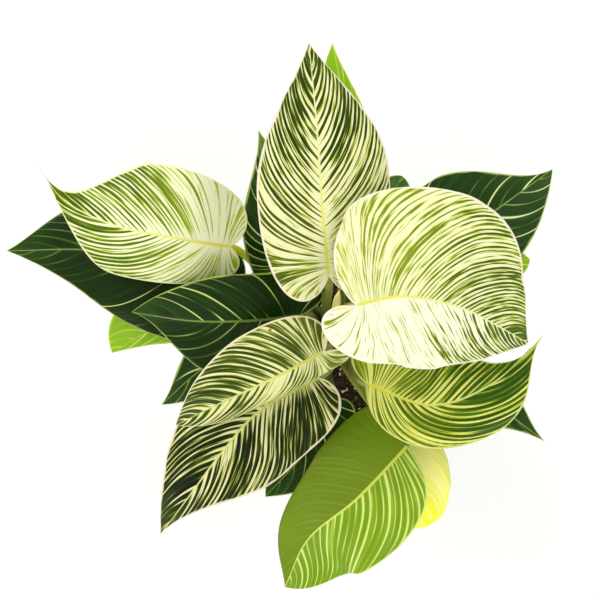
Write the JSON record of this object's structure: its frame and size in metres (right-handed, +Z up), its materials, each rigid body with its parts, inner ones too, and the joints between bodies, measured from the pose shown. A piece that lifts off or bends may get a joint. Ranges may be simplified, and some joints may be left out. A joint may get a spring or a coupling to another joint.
{
  "type": "potted variegated philodendron",
  "caption": "Potted philodendron with broad heart-shaped leaves, dark green with fine cream and yellow-green stripes, on upright stalks from a short stem in a tapered round pot.",
  "frame": {"origin": "middle of the pot's underside, on the pot's axis", "axes": "+Z up along the pot's axis; -Y is the front, the lower edge of the view from above; +X is the right of that view"},
  "size_m": [0.391, 0.3893, 0.3438],
  "materials": {
    "leaf_cream_striped": "waxy, satin",
    "leaf_green_striped": "waxy, satin",
    "leaf_dark_green": "waxy, satin",
    "leaf_lime": "waxy, satin",
    "leaf_yellow": "waxy, satin",
    "new_leaf_cream": "waxy, satin",
    "dry_sheath": "dry, papery",
    "stem_green": "ringed, matt",
    "potting_mix": "loose, matt",
    "pot_glaze": "satin glaze"
  },
  "bodies": {
    "root": {"leaf_back_upright": "leaf_cream_striped", "leaf_right_cream": "leaf_cream_striped", "leaf_left_arching": "leaf_cream_striped", "leaf_far_left_dark": "leaf_dark_green", "leaf_left_dark": "leaf_dark_green", "leaf_front_left_upper": "leaf_green_striped", "leaf_front_left_lower": "leaf_green_striped", "leaf_front_right": "leaf_green_striped", "leaf_front_half_green": "leaf_green_striped", "leaf_front_yellow": "leaf_yellow", "leaf_right_dark": "leaf_dark_green", "leaf_back_lime": "leaf_lime", "leaf_back_left_dark": "leaf_dark_green", "leaf_back_small": "leaf_dark_green", "leaf_left_lime": "leaf_lime", "leaf_left_low": "leaf_dark_green", "leaf_front_low": "leaf_dark_green", "leaf_right_low": "leaf_dark_green", "leaf_right_lime": "leaf_lime", "new_leaf_rolled": "new_leaf_cream", "leaf_sheath": "dry_sheath", "stem": "stem_green", "potting_soil": "potting_mix", "pot": "pot_glaze"}
  },
  "joints": []
}
